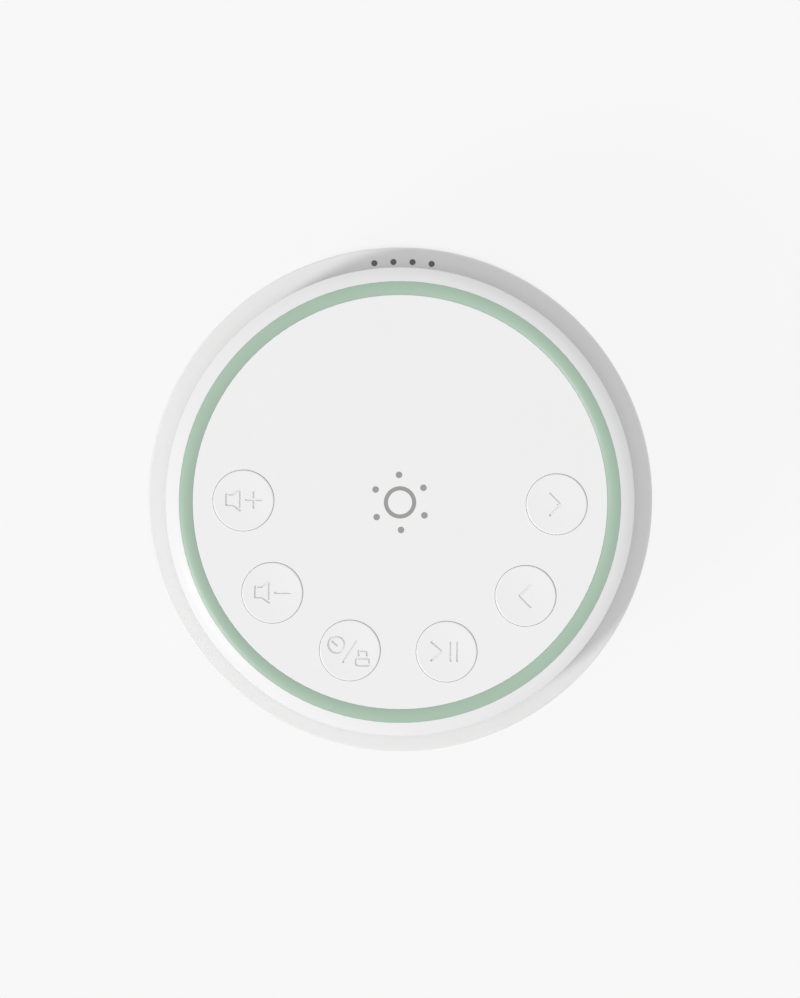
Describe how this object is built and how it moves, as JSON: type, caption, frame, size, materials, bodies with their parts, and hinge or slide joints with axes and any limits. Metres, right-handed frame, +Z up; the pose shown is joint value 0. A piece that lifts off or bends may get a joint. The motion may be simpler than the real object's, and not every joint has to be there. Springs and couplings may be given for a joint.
{
  "type": "white noise sound machine",
  "caption": "Low round bedside sound machine with a night light: sprung keys round the front of a raised panel, a touch light key, a sound grille round the base and a charging socket.",
  "frame": {"origin": "centre of the foot ring, on the surface that the machine stands on", "axes": "+Z up, -Y to the front, where the keys are, +X to the right of someone who faces the front; the socket and the indicator dots are at +Y"},
  "size_m": [0.106, 0.106, 0.062],
  "materials": {
    "lamp_plastic": "milky white light-spreading plastic, satin",
    "base_plastic": "white ABS, fine satin grain",
    "cap_plastic": "white ABS, satin gloss rim",
    "panel_plastic": "white ABS, fine matte grain",
    "key_plastic": "white ABS, matte with recessed icons",
    "ring_plastic": "sage green satin plastic",
    "symbol_ink": "warm grey print",
    "indicator_plastic": "smoked light guide",
    "foot_rubber": "grey silicone rubber",
    "cloth_fabric": "black acoustic mesh",
    "screw_steel": "zinc-plated steel",
    "socket_steel": "nickel-plated steel",
    "tongue_plastic": "black moulded plastic",
    "frame_plastic": "white ABS",
    "tray_plastic": "black ABS",
    "board_laminate": "green solder mask on glass-fibre board",
    "lamp_board_laminate": "white solder mask on glass-fibre board",
    "led_resin": "yellow-white LED package",
    "chip_plastic": "black moulded package",
    "connector_nylon": "cream nylon",
    "flex_film": "amber film",
    "battery_foil": "aluminium laminate pouch",
    "foam": "black closed-cell foam",
    "conductive_foam": "metallised conductive foam",
    "basket_steel": "black painted steel",
    "magnet_ferrite": "grey ferrite",
    "yoke_steel": "zinc-plated steel",
    "cone_paper": "black pressed paper",
    "spider_cloth": "resin-stiffened cloth",
    "surround_rubber": "black rubber roll",
    "switch_plastic": "black moulded switch body",
    "plunger_plastic": "black moulded plunger",
    "wire_vinyl": "vinyl-covered lead"
  },
  "bodies": {
    "housing": {"base_shell": "base_plastic", "foot_ring": "foot_rubber", "grille_cloth": "cloth_fabric", "base_screws": "screw_steel", "charge_board": "board_laminate", "usb_socket": "socket_steel", "usb_tongue": "tongue_plastic", "charge_board_screws": "screw_steel", "charge_lead": "wire_vinyl", "speaker_baffle": "frame_plastic", "speaker_gasket": "foam", "speaker_basket": "basket_steel", "speaker_magnet": "magnet_ferrite", "speaker_yoke": "yoke_steel", "speaker_spider": "spider_cloth", "speaker_surround": "surround_rubber", "speaker_screws": "screw_steel", "speaker_terminals": "board_laminate", "speaker_lead": "wire_vinyl", "inner_frame": "frame_plastic", "lamp_board": "lamp_board_laminate", "lamp_leds": "led_resin", "lamp_lead": "wire_vinyl", "lamp_shell": "lamp_plastic", "main_board": "board_laminate", "main_board_parts": "chip_plastic", "board_connectors": "connector_nylon", "battery_tray": "tray_plastic", "battery": "battery_foil", "battery_lead": "wire_vinyl", "tray_screws": "screw_steel", "key_board": "board_laminate", "key_board_parts": "connector_nylon", "key_lead": "wire_vinyl", "key_board_screws": "screw_steel", "switch_bodies": "switch_plastic", "touch_pad": "conductive_foam", "indicator_flex": "flex_film", "indicator_leds": "led_resin", "indicator_pipes": "indicator_plastic", "cap_shell": "cap_plastic", "cap_screws": "screw_steel", "top_panel": "panel_plastic", "light_symbol": "symbol_ink", "accent_ring": "ring_plastic"},
    "volume_up_key": {"volume_up_button": "key_plastic", "volume_up_plunger": "plunger_plastic"},
    "volume_down_key": {"volume_down_button": "key_plastic", "volume_down_plunger": "plunger_plastic"},
    "timer_lock_key": {"timer_lock_button": "key_plastic", "timer_lock_plunger": "plunger_plastic"},
    "play_pause_key": {"play_pause_button": "key_plastic", "play_pause_plunger": "plunger_plastic"},
    "previous_key": {"previous_button": "key_plastic", "previous_plunger": "plunger_plastic"},
    "next_key": {"next_button": "key_plastic", "next_plunger": "plunger_plastic"},
    "cone": {"speaker_cone": "cone_paper"}
  },
  "joints": [
    {"name": "volume_up_press", "type": "slide", "parent": "housing", "child": "volume_up_key", "axis": [0, 0, -1], "range_m": [0, 0.0005], "stiffness_N_per_m": 2000, "springref_m": -0.0005},
    {"name": "volume_down_press", "type": "slide", "parent": "housing", "child": "volume_down_key", "axis": [0, 0, -1], "range_m": [0, 0.0005], "stiffness_N_per_m": 2000, "springref_m": -0.0005},
    {"name": "timer_lock_press", "type": "slide", "parent": "housing", "child": "timer_lock_key", "axis": [0, 0, -1], "range_m": [0, 0.0005], "stiffness_N_per_m": 2000, "springref_m": -0.0005},
    {"name": "play_pause_press", "type": "slide", "parent": "housing", "child": "play_pause_key", "axis": [0, 0, -1], "range_m": [0, 0.0005], "stiffness_N_per_m": 2000, "springref_m": -0.0005},
    {"name": "previous_press", "type": "slide", "parent": "housing", "child": "previous_key", "axis": [0, 0, -1], "range_m": [0, 0.0005], "stiffness_N_per_m": 2000, "springref_m": -0.0005},
    {"name": "next_press", "type": "slide", "parent": "housing", "child": "next_key", "axis": [0, 0, -1], "range_m": [0, 0.0005], "stiffness_N_per_m": 2000, "springref_m": -0.0005},
    {"name": "cone_travel", "type": "slide", "parent": "housing", "child": "cone", "axis": [0, 0, 1], "range_m": [-0.0008, 0.0008], "stiffness_N_per_m": 900, "deforming": ["speaker_surround", "speaker_spider"]}
  ]
}
